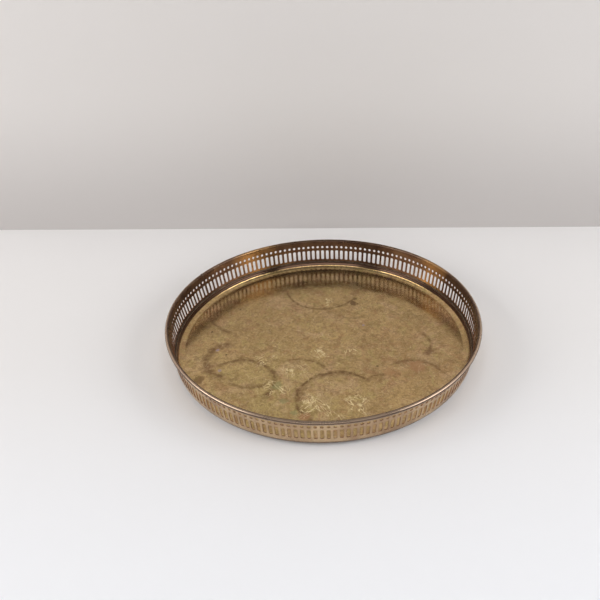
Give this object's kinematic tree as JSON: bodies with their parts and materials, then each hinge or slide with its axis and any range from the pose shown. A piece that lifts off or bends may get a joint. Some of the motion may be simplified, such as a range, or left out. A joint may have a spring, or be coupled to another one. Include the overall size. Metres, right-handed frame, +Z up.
{
  "type": "gallery tray",
  "caption": "Round brass serving tray with a flat pressed floor, a low upright gallery pierced with slots and round holes, and a rolled, wired rim.",
  "frame": {"origin": "centre of the flat underside that the tray rests on", "axes": "+Z up, along the tray's axis; +X to the right and +Y away from a viewer in front; the strip's butt joint is 147.1 degrees anticlockwise from +X, seen from above"},
  "size_m": [0.305, 0.305, 0.0336],
  "materials": {
    "pan_brass": "aged, half-polished, ring-stained and scratched",
    "gallery_brass": "aged, worn bright on the rim, dark in the piercings",
    "wire": "plain drawn wire, hidden in the rolled edge",
    "solder": "dull grey soft solder"
  },
  "bodies": {
    "root": {"base_pan": "pan_brass", "gallery_strip": "gallery_brass", "rim_wire": "wire", "foot_solder": "solder", "butt_solder": "solder"}
  },
  "joints": []
}
